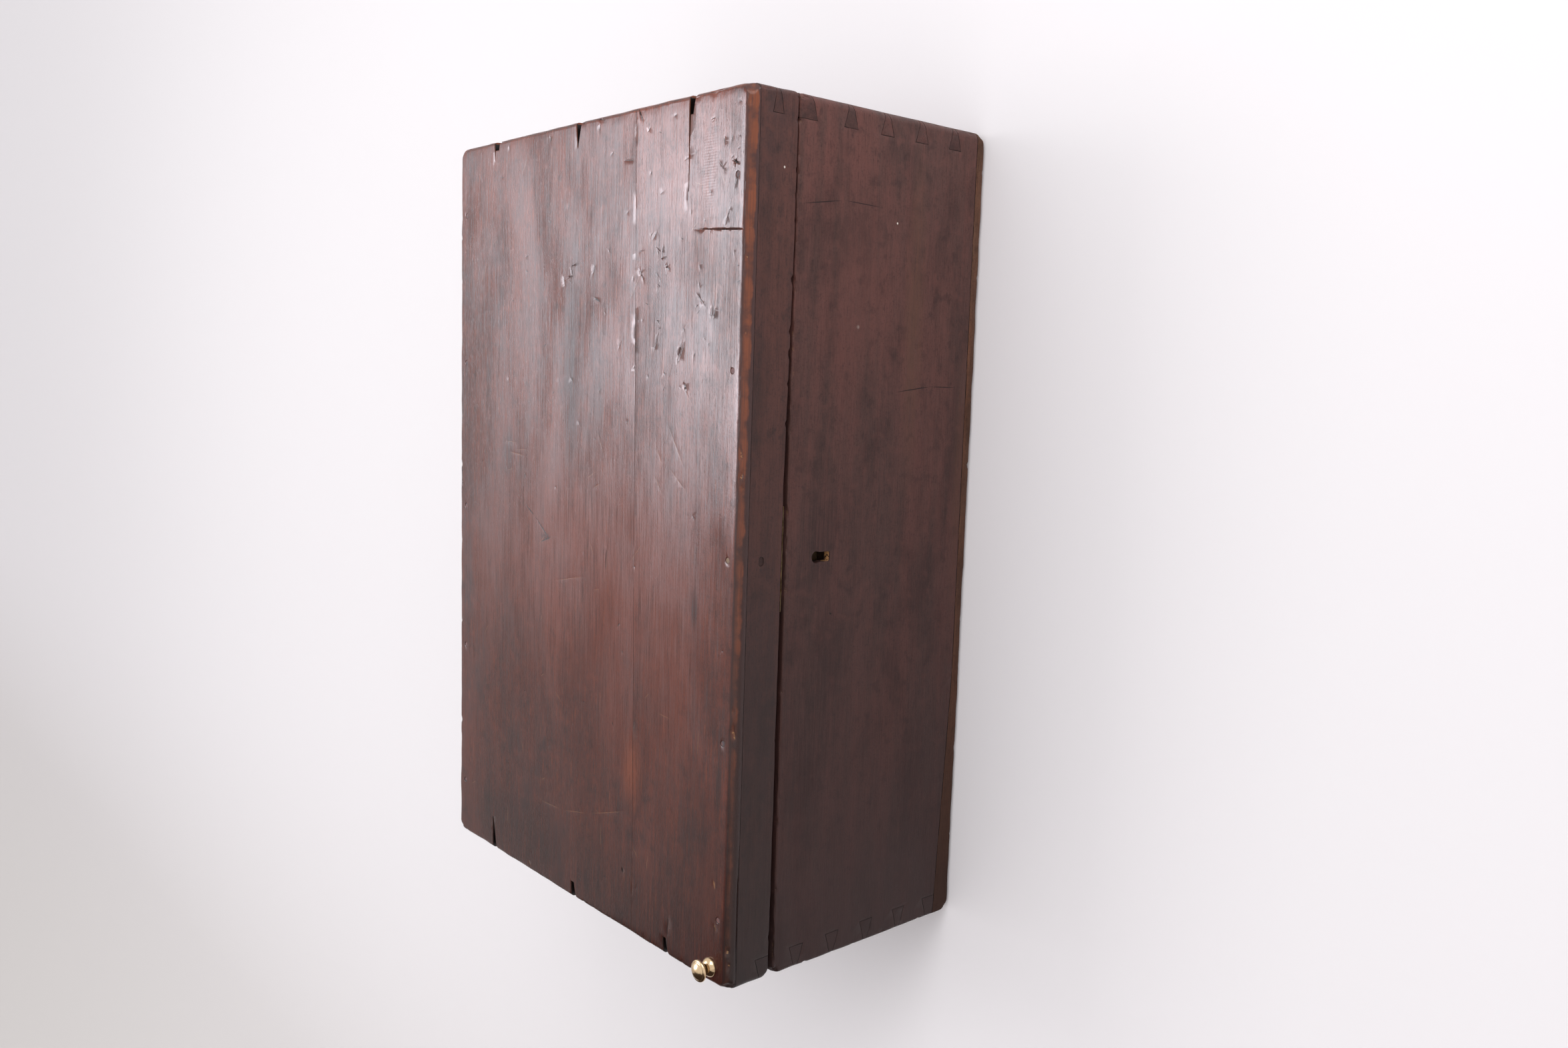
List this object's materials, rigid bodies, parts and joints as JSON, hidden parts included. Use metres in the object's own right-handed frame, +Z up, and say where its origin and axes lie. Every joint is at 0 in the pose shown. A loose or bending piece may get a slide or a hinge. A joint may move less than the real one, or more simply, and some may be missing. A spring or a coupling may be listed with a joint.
{
  "type": "small wall cabinet",
  "caption": "Small upright wall cabinet of dark dovetailed boards, with a deep side-hung door, a brass corner knob, a shelf and a box lock behind a side keyhole.",
  "frame": {"origin": "on the wall face of the back board, midway between the two hanging holes", "axes": "+X to the cabinet's right, +Y into the wall, +Z up"},
  "size_m": [0.3305, 0.1994, 0.5],
  "materials": {
    "case_wood": "dark brown stained and waxed hardwood, satin, worn lighter along its edges",
    "panel_wood": "red-brown hardwood with streaked upright grain, shellac gloss, scratched and dented",
    "plain_wood": "unpolished aged wood of the back and the inside",
    "brass": "old polished brass with dull hollows",
    "iron": "dark wrought iron with brown rust",
    "plug_wood": "nearly black old wood plug"
  },
  "bodies": {
    "case": {"side_left": "case_wood", "side_right": "case_wood", "top_board": "case_wood", "bottom_board": "case_wood", "back_board": "plain_wood", "shelf": "plain_wood", "shelf_cleat_left": "plain_wood", "shelf_cleat_right": "plain_wood", "back_nails": "iron", "cleat_nails": "iron", "shelf_nails": "iron", "upper_hinge_case_leaf": "brass", "upper_hinge_pin": "brass", "lower_hinge_case_leaf": "brass", "lower_hinge_pin": "brass", "hinge_case_screws": "brass", "lock_plate": "brass", "lock_cover": "iron", "lock_pin": "iron", "lock_screws": "brass"},
    "door": {"door_rim_left": "case_wood", "door_rim_right": "case_wood", "door_rim_top": "case_wood", "door_rim_bottom": "case_wood", "door_board_wide": "panel_wood", "door_board_narrow": "panel_wood", "panel_nails": "iron", "rim_plug": "plug_wood", "knob": "brass", "knob_rose": "brass", "knob_screw": "iron", "upper_hinge_door_leaf": "brass", "lower_hinge_door_leaf": "brass", "hinge_door_screws": "brass", "link_plate": "brass", "link_screws": "brass"},
    "bolt": {"lock_bolt": "iron", "lock_spring": "iron"}
  },
  "joints": [
    {"name": "door_swing", "type": "hinge", "parent": "case", "child": "door", "pos_m": [-0.1654, -0.15425, -0.205], "axis": [0, 0, -1], "range_deg": [0, 180]},
    {"name": "bolt_slide", "type": "slide", "parent": "case", "child": "bolt", "axis": [0, 0, 1], "range_m": [0, 0.006]}
  ]
}
